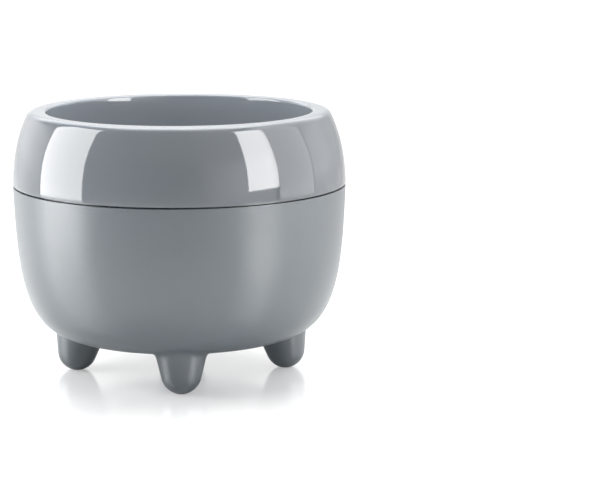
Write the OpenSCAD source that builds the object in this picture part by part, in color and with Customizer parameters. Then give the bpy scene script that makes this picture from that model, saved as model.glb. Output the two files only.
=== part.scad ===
// Self-watering planter: a footed reservoir pot, a lift-out planting pot whose rim band caps it,
// fleece wicks, and a float gauge in a filling shaft. Millimetres, +Z up, floor at z = 0.

/* [Outer pot] */
// Outside diameter at the seam between the two pots
pot_d = 200; // [190:1:230]
// Height of the seam above the floor
seam_h = 115; // [108:1:130]
// Height of the flat base above the floor
base_h = 23.7; // [21:0.1:26]
// Diameter of the flat middle of the base
base_d = 124; // [118:1:130]
// How far the base runs out level before the belly turns up
belly_reach = 33.9; // [30:0.1:38]
// Length over which the side stands steep below the seam
belly_rise = 50.4; // [44:0.1:56]
// Draft of the side at the seam, degrees
seam_draft = 2.1; // [1:0.1:4]
// Wall of the outer pot
wall = 2.4; // [1.8:0.1:3]
// Diameter of the shallow recess under the base
recess_d = 76; // [60:1:84]
// Depth of the recess under the base
recess_h = 1.8; // [1.2:0.1:2]

/* [Feet] */
// Number of feet
foot_n = 4; // [3:1:5]
// Diameter of the circle that the foot tips stand on
foot_circle_d = 126.8; // [120:0.1:130]
// Radius of the round tip of a foot
foot_tip_r = 11.9; // [10:0.1:13]
// Half of the taper angle of a foot, degrees
foot_taper = 14.3; // [10:0.1:18]
// Outward splay of a foot, degrees
foot_splay = 10; // [4:0.1:14]
// Depth of the small flat under a foot tip
foot_flat_h = 0.3; // [0.2:0.1:0.6]
// Wall of the hollow feet
foot_wall = 2.6; // [2:0.1:3.2]

/* [Locating lip] */
// Height of the lip that stands up inside the rim band
lip_h = 7; // [4:0.5:10]
// Thickness of the lip
lip_wall = 2.2; // [1.6:0.1:2.8]
// Play between the lip and the rim band
lip_play = 0.5; // [0.3:0.1:0.8]
// Height of the shadow line between the two pots
seam_gap = 0.9; // [0.6:0.1:1.4]
// Height of the inward taper that carries the lip
lip_taper_h = 3; // [2:0.5:5]

/* [Inner pot] */
// Overall height of the planter
rim_h = 159; // [152:1:170]
// Diameter of the mouth
mouth_d = 159.2; // [150:0.2:164]
// Width of the rim, from the mouth to its outer corner
rim_w = 10.4; // [9:0.1:12]
// Rounding of the rim's outer corner
shoulder_round = 3.3; // [2:0.1:4]
// Lean of the band where it meets the rim, degrees from upright
shoulder_lean = 24.6; // [18:0.1:30]
// Length over which the band leans in below the rim
shoulder_rise = 14; // [10:0.5:18]
// Length over which the band stands steep above the seam
band_rise = 15.4; // [12:0.1:20]
// Lean of the band at the seam, degrees
band_lean = 2.3; // [0:0.1:4]
// How far the band stands proud of the outer pot
band_proud = 0.15; // [0:0.05:0.3]
// Rounding of the band's lower edge
band_edge = 0.5; // [0.3:0.1:0.8]
// Rounding of the rim's inner corner
rim_round = 1.6; // [1:0.1:2.4]
// Wall of the inner pot
liner_wall = 2.4; // [1.8:0.1:2.8]
// Draft of the inner pot's side, degrees
liner_draft = 1.5; // [0.5:0.1:2.5]
// Inside rounding between the side and floor of the inner pot
floor_round = 10; // [6:0.5:14]
// Depth of the water reservoir under the inner pot
reservoir_h = 26; // [22:0.5:32]
// Number of gussets under the rim
gusset_n = 12; // [8:2:16]
// Thickness of gussets and floor ribs
rib_t = 1.6; // [1.2:0.1:2]
// Height of the ribs under the inner pot's floor
rib_h = 3; // [2:0.5:4]
// Number of ribs under the inner pot's floor
rib_n = 8; // [4:4:12]
// Radius of the ring that joins the floor ribs at the middle
hub_r = 16; // [12:0.5:19]

/* [Wicks] */
// Width of a wick strip
wick_w = 15; // [12:0.5:17]
// Thickness of a wick strip
wick_t = 1.6; // [1:0.1:2]
// Distance between the two slots of a wick
wick_pitch = 14; // [12:0.5:18]
// Radius at which the wicks sit
wick_r = 37; // [35:0.5:40]
// Play around a wick in its slot
wick_play = 0.7; // [0.5:0.1:1]
// Clearance between a wick's ends and the reservoir floor
wick_end_gap = 0.6; // [0.4:0.1:1]

/* [Drain holes] */
// Radius of the ring of drain slots
drain_ring_r = 60; // [57:0.5:64]
// Length of a drain slot
drain_slot_l = 9; // [6:0.5:11]
// Width of a drain slot
drain_slot_w = 2.4; // [1.6:0.1:3]
// Number of places on the ring of drain slots
drain_n = 12; // [8:4:16]

/* [Filling shaft] */
// Inside width of the filling shaft
shaft_w = 26; // [24:0.5:30]
// Wall of the filling shaft
shaft_wall = 2; // [1.6:0.1:2.4]
// Distance from the mouth's edge to the gauge axis
shaft_reach = 25.6; // [25:0.1:28]
// Height of the top of the filling shaft
shaft_top = 128; // [122:1:132]
// Thickness of the plate on the filling shaft
plate_t = 2; // [1.6:0.1:2.6]
// Play around the plate
plate_play = 0.4; // [0.3:0.1:0.6]
// Width of the pouring hole
pour_w = 18; // [15:0.5:20]
// Depth of the pouring hole
pour_d = 9.5; // [8:0.1:10]
// Gap between the gauge cage and the pouring hole
pour_gap = 2; // [1.5:0.1:2.2]

/* [Float gauge] */
// Radius of the float
float_r = 7.5; // [6.5:0.1:7.8]
// Height of the float
float_h = 14; // [12:0.5:16]
// Travel of the float from empty to full
float_travel = 16; // [12:0.5:17]
// Play around the float in its cage
float_play = 0.8; // [0.5:0.1:1]
// Wall of the gauge cage
cage_wall = 1.2; // [1:0.1:1.4]
// Clearance of the cage above the reservoir floor
cage_lift = 1; // [0.6:0.1:1.4]
// Thickness of the cage's end rings
cage_end = 1.4; // [1:0.1:2]
// Number of slots in the cage
cage_slots = 4; // [3:1:5]
// Width of a slot in the cage
cage_slot_w = 5; // [4:0.5:6]
// Radius of the gauge rod
rod_r = 1.5; // [1.2:0.1:1.8]
// Play around the rod in its tube
rod_play = 0.9; // [0.6:0.1:1.2]
// Wall of the rod tube
tube_wall = 1.6; // [1.2:0.1:2]
// Depth of the rod's seat in the float and in the marker
rod_seat = 3; // [2:0.5:3.5]
// Radius of the level marker
marker_r = 3.4; // [2.8:0.1:3.6]
// Height of the level marker
marker_h = 4; // [3.8:0.2:5]
// Play around the marker in the window
marker_play = 0.9; // [0.6:0.1:1.2]
// Wall of the clear window
window_wall = 1.2; // [1:0.1:1.4]
// Height of the collar that holds the window
collar_h = 3; // [2:0.5:4]
// Wall of the collar
collar_wall = 1.2; // [1:0.1:1.4]

/* [Filler lid] */
// Overhang of the lid around the pouring hole
lid_lap = 1.5; // [1:0.1:1.6]
// Thickness of the lid
lid_t = 1.6; // [1.2:0.1:2]
// Depth of the lid's skirt in the pouring hole
skirt_h = 3; // [2:0.5:4]
// Wall of the lid's skirt
skirt_wall = 1.4; // [1:0.1:1.8]
// Play around the skirt
skirt_play = 0.3; // [0.2:0.1:0.4]
// Height of the finger tab
tab_h = 6; // [4:0.5:8]
// Width of the finger tab
tab_w = 10; // [8:0.5:12]

/* [Drain plug] */
// Radius of the drain hole
drain_r = 6; // [5:0.1:7]
// Wall of the boss around the drain hole
boss_wall = 3; // [2:0.1:4]
// Height of the boss above the reservoir floor
boss_h = 3; // [2:0.1:3.6]
// Play around the plug
plug_play = 0.05; // [0.02:0.01:0.1]
// Radius of the plug's head
plug_head_r = 9; // [8.5:0.1:11]
// Thickness of the plug's head
plug_head_t = 1.3; // [1:0.1:1.4]
// Height of the pull rib under the plug
plug_rib_h = 2.4; // [2:0.1:3]

/* [Hidden] */
$fn = 96;

eps = 0.01;           // overlap that joins solids of one piece
seat_gap = 0.2;       // between pieces that rest on each other and come apart
soft_gap = 0.3;       // around soft pieces
press_gap = 0.02;     // between pieces pushed together for good
body_steps = 14;      // straight steps along a belly curve
band_steps = 8;       // straight steps along the band curve
round_steps = 5;      // straight steps around a small rounding
lip_share = 0.96;     // share of the belly curve below the taper that carries the lip

seam_r = pot_d / 2;
base_r = base_d / 2;
mouth_r = mouth_d / 2;
shoulder_z = seam_h - seam_gap / 2;                 // top of the outer pot's outer wall
band_z = seam_h + seam_gap / 2;                     // lower edge of the band
lip_top = seam_h + lip_h;
lip_r = seam_r - liner_wall - lip_play;             // outside of the lip
floor_z = base_h + wall;                            // reservoir floor
liner_under = floor_z + reservoir_h;                // underside of the inner pot's floor
liner_floor = liner_under + liner_wall;             // top of the inner pot's floor
gauge_y = -(mouth_r - shaft_reach);                 // gauge axis, at the front of the pot
shaft_r = shaft_w / 2;
cage_in = float_r + float_play;
cage_r = cage_in + cage_wall;
cage_z = floor_z + cage_lift;
float_z = cage_z + cage_end + soft_gap;
cage_top = float_z + float_h + float_travel + soft_gap;
tube_in = rod_r + rod_play;
tube_r = tube_in + tube_wall;
plate_z = shaft_top + seat_gap;
plate_top = plate_z + plate_t;
marker_z = plate_top + soft_gap;
window_in = marker_r + marker_play;
window_r = window_in + window_wall;
window_top = marker_z + marker_h + float_travel + soft_gap;
pour_y = gauge_y - cage_r - pour_gap - pour_d / 2;  // middle of the pouring hole
plug_head_z = base_h + recess_h - plug_head_t - seat_gap;

// Curves of the outside, as points of radius and height
function bezier(p, t) = pow(1 - t, 3) * p[0] + 3 * pow(1 - t, 2) * t * p[1]
    + 3 * (1 - t) * t * t * p[2] + pow(t, 3) * p[3];
function slope(p, t) = pow(1 - t, 2) * (p[1] - p[0]) + 2 * (1 - t) * t * (p[2] - p[1])
    + t * t * (p[3] - p[2]);
function left_of(v) = [-v[1], v[0]] / norm(v);
function curve(p, steps, inset = 0, last = 1) =
    [for (i = [0:steps]) let (t = last * i / steps) bezier(p, t) + inset * left_of(slope(p, t))];
function arc(c, r, from, to, steps = round_steps) =
    [for (i = [0:steps]) let (a = from + (to - from) * i / steps) c + r * [cos(a), sin(a)]];
function reverse(list) = [for (i = [len(list) - 1:-1:0]) list[i]];

belly = [[base_r, base_h], [base_r + belly_reach, base_h],
         [seam_r - belly_rise * tan(seam_draft), shoulder_z - belly_rise], [seam_r, shoulder_z]];
rim_corner = [mouth_r + rim_w, rim_h];
shoulder = rim_corner + shoulder_round * [sin(shoulder_lean), -cos(shoulder_lean)];
band_foot = [seam_r + band_proud, band_z + band_edge];
band = [band_foot, band_foot + band_rise * [-sin(band_lean), cos(band_lean)],
        shoulder + shoulder_rise * [sin(shoulder_lean), -cos(shoulder_lean)], shoulder];

// Radius of the inner pot's inside at a height
function inside_r(z) = mouth_r - (rim_h - z) * tan(liner_draft);

// The rounded outer corner of the rim, set in from the outside by an inset
function rim_shoulder(inset) =
    let (a = shoulder + inset * left_of(rim_corner - shoulder),
         b = [rim_corner[0] - shoulder_round, rim_h - inset],
         c = rim_corner + inset * [-tan(45 - shoulder_lean / 2), -1])
    [for (i = [0:round_steps]) let (t = i / round_steps)
        pow(1 - t, 2) * a + 2 * (1 - t) * t * c + t * t * b];

// ---- Outer pot ----

// One foot, grown outwards by a wall
module foot_solid(r, h) {
    tip_z = foot_tip_r - foot_flat_h;
    translate([foot_circle_d / 2, 0, tip_z])
        rotate([0, -foot_splay, 0]) {
            sphere(r = r);
            translate([0, 0, -r * sin(foot_taper)])
                cylinder(h = h, r1 = r * cos(foot_taper),
                         r2 = r * cos(foot_taper) + h * tan(foot_taper));
        }
}

module feet(r, h) {
    for (i = [0:foot_n - 1])
        rotate([0, 0, 360 / foot_n * i - 90]) foot_solid(r, h);
}

module outer_body() {
    rotate_extrude()
        polygon(concat(
            [[0, base_h]], curve(belly, body_steps),
            [[lip_r, shoulder_z], [lip_r, lip_top - band_edge], [lip_r - band_edge, lip_top],
             [0, lip_top]]));
}

module outer_hollow() {
    lip_in = lip_r - lip_wall;
    side = curve(belly, body_steps, wall, lip_share);
    rotate_extrude()
        polygon(concat(
            [[0, floor_z]], side,
            [[lip_in, side[body_steps][1] + lip_taper_h], [lip_in, lip_top + 1], [0, lip_top + 1]]));
}

module outer_pot() {
    color([0.5, 0.52, 0.54])
    difference() {
        union() {
            difference() {
                union() {
                    outer_body();
                    feet(foot_tip_r, base_h);
                }
                outer_hollow();
                feet(foot_tip_r - foot_wall, base_h + wall);
            }
            floor_over_recess();
            translate([0, 0, base_h + recess_h])
                cylinder(h = wall + boss_h - recess_h, r = drain_r + boss_wall);
        }
        translate([0, 0, base_h - 1]) cylinder(h = recess_h + 1, d = recess_d);
        translate([0, 0, base_h]) cylinder(h = wall + boss_h + 1, r = drain_r);
        translate([0, 0, -10]) cylinder(h = 10, r = seam_r);
    }
}

// The reservoir floor steps up over the recess, so its wall stays even
module floor_over_recess() {
    translate([0, 0, base_h + recess_h]) cylinder(h = wall, d = recess_d + 2 * wall);
}

// ---- Inner pot ----

// The inside of the planting space, from the floor to above the rim
module liner_space(extra = 0) {
    c = [inside_r(liner_floor + floor_round) - floor_round, liner_floor + floor_round];
    rotate_extrude()
        polygon(concat(
            [[0, liner_floor - extra]],
            arc(c, floor_round + extra, -90, -liner_draft, 8),
            [[inside_r(rim_h + 1) + extra, rim_h + 1], [0, rim_h + 1]]));
}

// The whole outside of the inner pot, band and all, without its hollows
module liner_rim() {
    rim_in = inside_r(rim_h);
    inner_c = [rim_in + rim_round, rim_h - rim_round];
    web = liner_wall;
    rotate_extrude()
        polygon(concat(
            [[seam_r + band_proud - liner_wall, band_z], [seam_r + band_proud - band_edge, band_z]],
            curve(band, band_steps),
            rim_shoulder(0),
            arc(inner_c, rim_round, 90, 180),
            [[inside_r(rim_h - rim_round - 6), rim_h - rim_round - 6],
             [inside_r(rim_h - rim_round - 6) + web, rim_h - rim_round - 6],
             [rim_in + web + 1, rim_h - web]],
            reverse(rim_shoulder(web)),
            reverse(curve(band, band_steps, web))));
}

// The wall and floor of the planting space
module liner_cup() {
    difference() {
        intersection() {
            liner_space(liner_wall);
            cylinder(h = rim_h - liner_wall, r = seam_r);
        }
        liner_space();
    }
}

// Outline of the filling shaft: round towards the middle, open towards the side
module shaft_outline(grow) {
    translate([0, gauge_y]) circle(r = shaft_r + grow);
    translate([-shaft_r - grow, gauge_y - 2 * shaft_reach])
        square([shaft_w + 2 * grow, 2 * shaft_reach]);
}

module shaft_wall_solid() {
    intersection() {
        translate([0, 0, liner_under]) linear_extrude(shaft_top - liner_under) shaft_outline(shaft_wall);
        liner_space(liner_wall / 2);
    }
}

module shaft_bore() {
    intersection() {
        translate([0, 0, liner_under - rib_h - 1])
            linear_extrude(shaft_top - liner_under + rib_h + 2) shaft_outline(0);
        union() {
            liner_space();
            translate([0, 0, liner_under - rib_h - 1])
                cylinder(h = liner_wall + rib_h + 1 + floor_round, r = inside_r(liner_floor) - floor_round / 3);
        }
    }
}

// Thin gussets between the cup and the band, standing on the lip
module gussets() {
    intersection() {
        rotate_extrude()
            polygon(concat(
                [[inside_r(band_z) + liner_wall / 2, band_z]],
                curve(band, band_steps, liner_wall / 2),
                rim_shoulder(liner_wall / 2),
                [[inside_r(rim_h) + liner_wall / 2, rim_h - liner_wall / 2]]));
        for (i = [0:gusset_n - 1])
            rotate([0, 0, 360 / gusset_n * (i + 0.5)])
                translate([0, -rib_t / 2, lip_top + seat_gap]) cube([seam_r, rib_t, rim_h]);
    }
}

module floor_ribs() {
    reach = inside_r(liner_floor) - floor_round / 2;
    translate([0, 0, liner_under - rib_h]) {
        for (i = [0:rib_n - 1])
            rotate([0, 0, 360 / rib_n * (i + 0.5)])
                translate([hub_r, -rib_t / 2, 0]) cube([reach - hub_r, rib_t, rib_h + eps]);
        difference() {
            cylinder(h = rib_h + eps, r = hub_r + rib_t / 2);
            translate([0, 0, -1]) cylinder(h = rib_h + 2, r = hub_r - rib_t / 2);
        }
    }
}

module slot_cut(length, width, h) {
    translate([-width / 2, -length / 2 + width / 2, 0]) cube([width, length - width, h]);
    for (s = [-1, 1])
        translate([0, s * (length - width) / 2, 0]) cylinder(h = h, d = width, $fn = 24);
}

module at_wick(i) {
    rotate([0, 0, 45 + 90 * i]) translate([wick_r, 0, 0]) children();
}

module wick_slots() {
    for (i = [0:3], s = [-1, 1])
        at_wick(i)
            translate([s * wick_pitch / 2 - wick_t / 2 - wick_play, -wick_w / 2 - wick_play, liner_under - 1])
                cube([wick_t + 2 * wick_play, wick_w + 2 * wick_play, liner_wall + 2]);
}

module drain_slots() {
    for (i = [0:drain_n - 1])
        if (abs(drain_ring_r * cos(360 / drain_n * i)) > shaft_r + shaft_wall + drain_slot_l
            || sin(360 / drain_n * i) > 0)
            rotate([0, 0, 360 / drain_n * i])
                translate([drain_ring_r, 0, liner_under - 1])
                    slot_cut(drain_slot_l, drain_slot_w, liner_wall + 2);
}

module inner_pot() {
    color([0.56, 0.58, 0.6])
    difference() {
        union() {
            liner_cup();
            liner_rim();
            gussets();
            floor_ribs();
            shaft_wall_solid();
        }
        shaft_bore();
        wick_slots();
        drain_slots();
    }
}

// ---- Wicks ----

// A strip over the floor between two slots, with both ends hanging into the reservoir
module wick(i) {
    out = wick_pitch + wick_t;
    bottom = floor_z + recess_h + wick_end_gap;
    top = liner_floor + soft_gap + wick_t;
    color([0.86, 0.86, 0.83])
    at_wick(i)
        translate([0, wick_w / 2, 0]) rotate([90, 0, 0])
            linear_extrude(wick_w) difference() {
                translate([-out / 2, bottom]) square([out, top - bottom]);
                translate([-out / 2 + wick_t, bottom - 1]) square([out - 2 * wick_t, top - bottom - wick_t + 1]);
            }
}

module wick_back_right() { wick(0); }
module wick_back_left() { wick(1); }
module wick_front_left() { wick(2); }
module wick_front_right() { wick(3); }

// ---- Float gauge ----

module cage_profile() {
    polygon([[cage_in / 2, cage_z], [cage_r, cage_z], [cage_r, cage_top + cage_end],
             [tube_r, cage_top + cage_end + 2], [tube_r, plate_z + eps], [tube_in, plate_z + eps],
             [tube_in, cage_top], [cage_in, cage_top], [cage_in, cage_z + cage_end],
             [cage_in / 2, cage_z + cage_end]]);
}

module plate_outline() {
    intersection() {
        circle(r = inside_r(shaft_top) - plate_play);
        shaft_outline(shaft_wall);
    }
}

module gauge_guide() {
    color([0.16, 0.17, 0.18])
    difference() {
        union() {
            translate([0, gauge_y, 0]) rotate_extrude() cage_profile();
            translate([0, 0, plate_z]) linear_extrude(plate_t) plate_outline();
            translate([0, gauge_y, plate_z])
                cylinder(h = plate_t + collar_h, r = window_r + press_gap + collar_wall);
        }
        translate([0, gauge_y, plate_top]) cylinder(h = collar_h + 1, r = window_r + press_gap);
        translate([0, gauge_y, plate_z - 1]) cylinder(h = plate_t + 2, r = tube_in);
        translate([-pour_w / 2, pour_y - pour_d / 2, plate_z - 1]) cube([pour_w, pour_d, plate_t + 2]);
        for (i = [0:cage_slots - 1])
            translate([0, gauge_y, cage_z + cage_end + 2])
                rotate([0, 0, 360 / cage_slots * (i + 0.5)])
                    translate([cage_in / 2, -cage_slot_w / 2, 0])
                        cube([cage_r, cage_slot_w, cage_top - cage_z - cage_end - 4]);
    }
}

module gauge_float() {
    edge = 1.5;
    color([0.92, 0.92, 0.9])
    translate([0, gauge_y, float_z])
        difference() {
            rotate_extrude()
                polygon([[0, 0], [float_r - edge, 0], [float_r, edge], [float_r, float_h - edge],
                         [float_r - edge, float_h], [0, float_h]]);
            translate([0, 0, float_h - rod_seat]) cylinder(h = rod_seat + 1, r = rod_r + press_gap, $fn = 32);
        }
}

module gauge_rod() {
    bottom = float_z + float_h - rod_seat;
    color([0.9, 0.9, 0.88])
    translate([0, gauge_y, bottom]) cylinder(h = marker_z + rod_seat - bottom, r = rod_r, $fn = 32);
}

module gauge_marker() {
    edge = 0.6;
    color([0.78, 0.1, 0.08])
    translate([0, gauge_y, marker_z])
        difference() {
            rotate_extrude($fn = 48)
                polygon([[0, 0], [marker_r, 0], [marker_r, marker_h - edge], [marker_r - edge, marker_h],
                         [0, marker_h]]);
            translate([0, 0, -1]) cylinder(h = rod_seat + 1, r = rod_r + press_gap, $fn = 32);
        }
}

module gauge_window() {
    color([0.85, 0.9, 0.92, 0.4])
    translate([0, gauge_y, 0])
        rotate_extrude()
            polygon(concat(
                [[window_in, plate_top], [window_r, plate_top]],
                arc([window_r - window_wall, window_top], window_wall, 0, 90, 4),
                [[0, window_top + window_wall], [0, window_top], [window_in, window_top]]));
}

module filler_lid() {
    w = pour_w + 2 * lid_lap;
    d = pour_d + 2 * lid_lap;
    skirt_w = pour_w - 2 * skirt_play;
    skirt_d = pour_d - 2 * skirt_play;
    color([0.16, 0.17, 0.18])
    translate([0, pour_y, plate_top + seat_gap]) {
        translate([-w / 2, -d / 2, 0]) cube([w, d, lid_t]);
        difference() {
            translate([-skirt_w / 2, -skirt_d / 2, -skirt_h]) cube([skirt_w, skirt_d, skirt_h + eps]);
            translate([-skirt_w / 2 + skirt_wall, -skirt_d / 2 + skirt_wall, -skirt_h - 1])
                cube([skirt_w - 2 * skirt_wall, skirt_d - 2 * skirt_wall, skirt_h + 1]);
        }
        translate([-tab_w / 2, -1, lid_t - eps]) cube([tab_w, 2, tab_h - 1]);
        translate([0, 1, lid_t + tab_h - 2])
            rotate([90, 0, 0]) slot_tab_top();
    }
}

// Round top of the finger tab
module slot_tab_top() {
    intersection() {
        cylinder(h = 2, r = tab_w / 2);
        translate([-tab_w / 2, 0, 0]) cube([tab_w, tab_w / 2, 2]);
    }
}

// ---- Drain plug ----

module drain_plug() {
    r = drain_r - plug_play;
    color([0.12, 0.12, 0.13])
    translate([0, 0, plug_head_z]) {
        cylinder(h = plug_head_t, r = plug_head_r);
        rotate_extrude()
            polygon([[0, 0], [r, 0], [r, plug_head_t + wall + boss_h - recess_h - 1],
                     [r - 1, plug_head_t + wall + boss_h - recess_h],
                     [0, plug_head_t + wall + boss_h - recess_h]]);
        translate([-plug_head_r * 0.7, -1, -plug_rib_h]) cube([plug_head_r * 1.4, 2, plug_rib_h + eps]);
    }
}

outer_pot();
inner_pot();
wick_back_right();
wick_back_left();
wick_front_left();
wick_front_right();
gauge_guide();
gauge_float();
gauge_rod();
gauge_marker();
gauge_window();
filler_lid();
drain_plug();
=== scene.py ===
# %% [markdown]
# # A self-watering planter
# The planter is two pots of one grey plastic. The lower one is a matt bowl on four tapered feet, and it
# holds the water. The upper one is glossy: it hangs in the lower one by its wide rim band, and soil goes
# into it. Fleece wicks lead the water up, and a float gauge in a filling shaft shows the level.
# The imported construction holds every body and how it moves, so this lesson starts by loading it. Where
# a piece is modelled again, its sizes are written out in millimetres.

# %% Load the construction
import math

import bpy
import numpy as np
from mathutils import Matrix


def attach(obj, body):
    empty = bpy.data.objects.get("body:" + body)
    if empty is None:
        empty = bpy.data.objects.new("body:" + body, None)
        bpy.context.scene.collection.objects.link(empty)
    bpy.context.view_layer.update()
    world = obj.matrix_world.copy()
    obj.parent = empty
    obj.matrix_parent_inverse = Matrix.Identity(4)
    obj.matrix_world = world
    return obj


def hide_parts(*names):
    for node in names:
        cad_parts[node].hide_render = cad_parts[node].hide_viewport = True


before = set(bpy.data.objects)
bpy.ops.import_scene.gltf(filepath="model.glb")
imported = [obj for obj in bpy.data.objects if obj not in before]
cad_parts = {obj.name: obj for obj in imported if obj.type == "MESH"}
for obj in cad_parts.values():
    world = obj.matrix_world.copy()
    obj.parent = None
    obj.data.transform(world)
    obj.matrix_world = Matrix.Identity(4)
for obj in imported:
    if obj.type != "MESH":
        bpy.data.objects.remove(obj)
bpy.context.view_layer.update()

print("nodes:", ", ".join(sorted(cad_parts)))

# %% [markdown]
# ## Helpers
# Each piece is made at its real place, so its object stays at the origin. Fresh primitives come out
# selected, and so are the nodes that were just loaded, so a helper clears the selection first.
# Primitives would only give cylinders and cones, and these pots are curved at every height. So their
# surfaces are given as rings of points, and one helper lays the quads between the rings.

# %% Small helpers
MM = 0.001
WELD = 0.02 * MM
FINE_WELD = 0.002 * MM
COARSE_WELD = 0.04 * MM
SHARP = 32


def clear_selection():
    if bpy.context.object and bpy.context.object.mode != "OBJECT":
        bpy.ops.object.mode_set(mode="OBJECT")
    bpy.ops.object.select_all(action="DESELECT")


def select_only(obj):
    clear_selection()
    obj.select_set(True)
    bpy.context.view_layer.objects.active = obj


def from_mesh_data(name, verts, edges, faces):
    mesh = bpy.data.meshes.new(name)
    mesh.from_pydata(verts, edges, faces)
    obj = bpy.data.objects.new(name, mesh)
    bpy.context.collection.objects.link(obj)
    return obj


def from_rings(name, rings, closed_rows=False, tip=None, ends=False):
    """A surface through rings of points. A tip closes the first ring, and ends close first and last."""
    count = len(rings[0])
    verts = [tuple(p) for ring in rings for p in ring]
    faces = []
    rows = len(rings) if closed_rows else len(rings) - 1
    for row in range(rows):
        here, there = row * count, (row + 1) % len(rings) * count
        for i in range(count):
            j = (i + 1) % count
            faces.append((here + i, here + j, there + j, there + i))
    if tip is not None:
        faces += [(i, len(verts), (i + 1) % count) for i in range(count)]
        verts.append(tuple(tip))
    if ends:
        faces += [tuple(range(count))[::-1], tuple(range(len(verts) - count, len(verts)))]
    return from_mesh_data(name, verts, [], faces)


def join(objs, name):
    """Joins objects into one, names it, and writes its place into its mesh."""
    clear_selection()
    for obj in objs:
        obj.select_set(True)
    bpy.context.view_layer.objects.active = objs[0]
    bpy.ops.object.join()
    joined = bpy.context.object
    select_only(joined)
    joined.name = name
    joined.data.name = name
    bpy.ops.object.transform_apply(location=True, rotation=True, scale=True)
    return joined


def merge_and_smooth(obj, distance=WELD, angle=SHARP):
    """Welds the seams, turns all faces outwards and keeps only true edges sharp."""
    select_only(obj)
    bpy.ops.object.mode_set(mode="EDIT")
    bpy.ops.mesh.select_all(action="SELECT")
    bpy.ops.mesh.remove_doubles(threshold=distance)
    bpy.ops.mesh.normals_make_consistent(inside=False)
    bpy.ops.object.mode_set(mode="OBJECT")
    bpy.ops.object.shade_smooth_by_angle(angle=math.radians(angle))
    return obj


# %% [markdown]
# ## The camera
# A long lens from about 1.3 metres, 15 cm above the rim, looks down at ten degrees. It keeps the upright
# sides nearly parallel, which is how such pots are shown in a shop. A wide lens from close by would fill
# the view as well, but it would make the bowl bulge. The camera is turned a little to the right, which
# leaves the planter at the left of the view. The Standard view transform shows colours as written.

# %% Camera
camera_data = bpy.data.cameras.new("camera")
camera = bpy.data.objects.new("camera", camera_data)
bpy.context.collection.objects.link(camera)
bpy.context.scene.camera = camera
camera_data.sensor_width = 36
camera_data.lens = 130.06
LOOK_DOWN = 0.177
LOOK_RIGHT = 0.0506
camera.location = (0.00688, -1.29473, 0.31062)
camera.rotation_euler = (math.radians(90) - LOOK_DOWN, 0, -LOOK_RIGHT)
bpy.context.scene.view_settings.view_transform = "Standard"
print("the camera looks down", round(math.degrees(LOOK_DOWN), 1), "degrees")

# %% [markdown]
# ## Sizes of the two pots
# The outside is one smooth line that runs from the flat base over the belly to the seam, and from the
# seam over the band to the rim. It could be drawn point by point, but a Bezier curve keeps it smooth
# with four handles only: one curve is the belly, and the other is the band.

# %% Sizes
SEAM_R = 100 * MM
SEAM_H = 115 * MM
SEAM_GAP = 0.9 * MM
BASE_R = 62 * MM
BASE_H = 23.7 * MM
WALL = 2.4 * MM
RIM_H = 159 * MM
MOUTH_R = 79.6 * MM
RESERVOIR_H = 26 * MM
SHOULDER_Z = SEAM_H - SEAM_GAP / 2
BAND_Z = SEAM_H + SEAM_GAP / 2
FLOOR_H = BASE_H + WALL
LINER_UNDER = FLOOR_H + RESERVOIR_H
LINER_FLOOR = LINER_UNDER + WALL
print("the reservoir is", round(RESERVOIR_H / MM), "mm deep")

# %% Profile curves
CURVE_POINTS = 1500


def bezier(handles, t):
    a, b, c, d = (np.array(h) for h in handles)
    t = np.atleast_1d(t)[:, None]
    return (1 - t) ** 3 * a + 3 * (1 - t) ** 2 * t * b + 3 * (1 - t) * t * t * c + t ** 3 * d


def inset(handles, t, depth):
    """Points set in from a curve, on the side of the pot's axis."""
    step = 1e-4
    t = np.atleast_1d(t)
    along = bezier(handles, np.minimum(t + step, 1)) - bezier(handles, np.maximum(t - step, 0))
    along /= np.linalg.norm(along, axis=1)[:, None]
    return bezier(handles, t) + depth * np.stack([-along[:, 1], along[:, 0]], 1)


BELLY_RUN = 33.9 * MM
BELLY_RISE = 50.4 * MM
BELLY_LEAN = math.radians(2.1)
BELLY = [(BASE_R, BASE_H), (BASE_R + BELLY_RUN, BASE_H),
         (SEAM_R - BELLY_RISE * math.tan(BELLY_LEAN), SHOULDER_Z - BELLY_RISE),
         (SEAM_R, SHOULDER_Z)]

RIM_CORNER = (MOUTH_R + 10.4 * MM, RIM_H)
RIM_LEAN = math.radians(24.6)
SHOULDER_ROUND = 3.3 * MM
SHOULDER = (RIM_CORNER[0] + SHOULDER_ROUND * math.sin(RIM_LEAN),
            RIM_H - SHOULDER_ROUND * math.cos(RIM_LEAN))
SHOULDER_RUN = 14 * MM
BAND_PROUD = 0.15 * MM
BAND_EDGE = 0.5 * MM
BAND_LEAN = math.radians(2.3)
BAND_RUN = 15.4 * MM
BAND_FOOT = (SEAM_R + BAND_PROUD, BAND_Z + BAND_EDGE)
BAND = [BAND_FOOT,
        (BAND_FOOT[0] - BAND_RUN * math.sin(BAND_LEAN), BAND_FOOT[1] + BAND_RUN * math.cos(BAND_LEAN)),
        (SHOULDER[0] + SHOULDER_RUN * math.sin(RIM_LEAN), SHOULDER[1] - SHOULDER_RUN * math.cos(RIM_LEAN)),
        SHOULDER]
print("the belly turns up over", round((SHOULDER_Z - BASE_H) / MM, 1), "mm")

# %% [markdown]
# ## The outer pot
# The real bowl and its feet are one moulding. The feet splay outwards, taper to a round tip, and flow
# into the belly with a small fillet. A boolean would leave a hard line there, so the base is laid out as
# rings: each foot is rings around its own leaning axis, and the last ring of its fillet is stretched over
# the belly until it meets the rings of the bowl. Inside it is the same again, one wall thickness smaller.

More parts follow.
